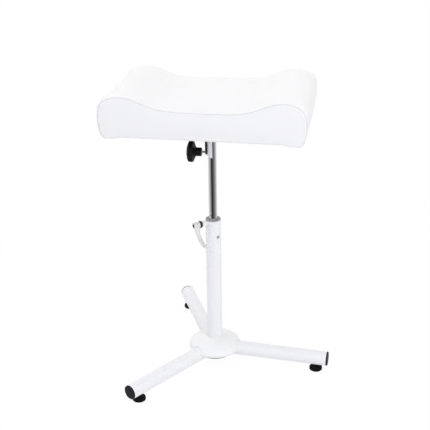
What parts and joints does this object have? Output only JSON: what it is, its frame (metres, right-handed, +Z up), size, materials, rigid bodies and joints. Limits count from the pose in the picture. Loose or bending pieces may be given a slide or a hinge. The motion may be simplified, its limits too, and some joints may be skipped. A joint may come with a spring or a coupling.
{
  "type": "pedicure footrest",
  "caption": "Free-standing leg rest with a dipped white cushion on a tilting, height-adjustable chrome post and a white tubular tripod base.",
  "frame": {"origin": "on the floor, under the middle of the outline seen from above", "axes": "+Z up, front is -Y (a long side of the cushion), +X to the right; the cushion's long side runs along X and the right leg points near +X"},
  "size_m": [0.4444, 0.4405, 0.6215],
  "materials": {
    "white_paint": "white powder coat, satin",
    "white_vinyl": "white upholstery vinyl, fine grain",
    "black_plastic": "black moulded plastic, satin",
    "grey_plastic": "dark grey nylon",
    "chrome": "polished chrome",
    "zinc_steel": "zinc plated",
    "black_steel": "black coated steel, satin",
    "silver_paint": "silver grey coat",
    "plywood": "raw plywood",
    "black_fabric": "non-woven dust cover"
  },
  "bodies": {
    "base": {"column_tube": "white_paint", "guide_bush": "grey_plastic", "bush_screw": "zinc_steel", "hub_cover": "white_paint", "hub_bottom_cap": "black_plastic", "clamp_boss": "white_paint", "clamp_pad": "grey_plastic", "leg_right": "white_paint", "leg_cap_right": "black_plastic", "foot_insert_right": "black_plastic", "leg_back_left": "white_paint", "leg_cap_back_left": "black_plastic", "foot_insert_back_left": "black_plastic", "leg_front_left": "white_paint", "leg_cap_front_left": "black_plastic", "foot_insert_front_left": "black_plastic"},
    "foot_right": {"foot_pad_right": "black_plastic", "foot_stud_right": "zinc_steel"},
    "foot_back_left": {"foot_pad_back_left": "black_plastic", "foot_stud_back_left": "zinc_steel"},
    "foot_front_left": {"foot_pad_front_left": "black_plastic", "foot_stud_front_left": "zinc_steel"},
    "lift": {"post_slider": "grey_plastic"},
    "post": {"post_tube": "chrome", "post_plug": "zinc_steel", "post_saddle": "zinc_steel", "post_top_cap": "black_plastic"},
    "head": {"tilt_bracket": "black_steel", "backing_board": "plywood", "underside_cover": "black_fabric", "cushion": "white_vinyl", "bracket_screw_1": "zinc_steel", "bracket_screw_2": "zinc_steel", "bracket_screw_3": "zinc_steel", "bracket_screw_4": "zinc_steel"},
    "knob_screw": {"knob_stud": "zinc_steel"},
    "knob_grip": {"knob": "black_plastic"},
    "clamp": {"clamp_screw": "black_steel", "lever_screw": "black_steel"},
    "lever": {"lever_arm": "silver_paint"}
  },
  "joints": [
    {"name": "foot_right_height", "type": "slide", "parent": "base", "child": "foot_right", "axis": [0, 0, -1], "range_m": [0, 0.006]},
    {"name": "foot_back_left_height", "type": "slide", "parent": "base", "child": "foot_back_left", "axis": [0, 0, -1], "range_m": [0, 0.006]},
    {"name": "foot_front_left_height", "type": "slide", "parent": "base", "child": "foot_front_left", "axis": [0, 0, -1], "range_m": [0, 0.006]},
    {"name": "post_height", "type": "slide", "parent": "base", "child": "lift", "axis": [0, 0, 1], "range_m": [-0.11, 0.12]},
    {"name": "post_swivel", "type": "hinge", "parent": "lift", "child": "post", "pos_m": [-0.0253, -0.0086, 0.141], "axis": [0, 0, 1], "continuous": true},
    {"name": "cushion_tilt", "type": "hinge", "parent": "post", "child": "head", "pos_m": [-0.0253, -0.0086, 0.476], "axis": [1, 0, 0], "range_deg": [-25, 25]},
    {"name": "knob_travel", "type": "slide", "parent": "post", "child": "knob_screw", "axis": [1, 0, 0], "range_m": [-0.00301, 0.00801]},
    {"name": "knob_turn", "type": "hinge", "parent": "knob_screw", "child": "knob_grip", "pos_m": [-0.0253, -0.0086, 0.476], "axis": [1, 0, 0], "range_deg": [-1350, 3600]},
    {"name": "clamp_turn", "type": "hinge", "parent": "base", "child": "clamp", "pos_m": [-0.04675, -0.0266, 0.3256], "axis": [-0.766, -0.6428, 0], "range_deg": [0, 60]},
    {"name": "lever_lift", "type": "slide", "parent": "clamp", "child": "lever", "axis": [-0.766, -0.6428, 0], "range_m": [0, 0.003], "stiffness_N_per_m": 400, "springref_m": -0.006}
  ],
  "couplings": [
    {"joint": "knob_travel", "follows": "knob_turn", "m_per_rad": 0.00012732}
  ]
}
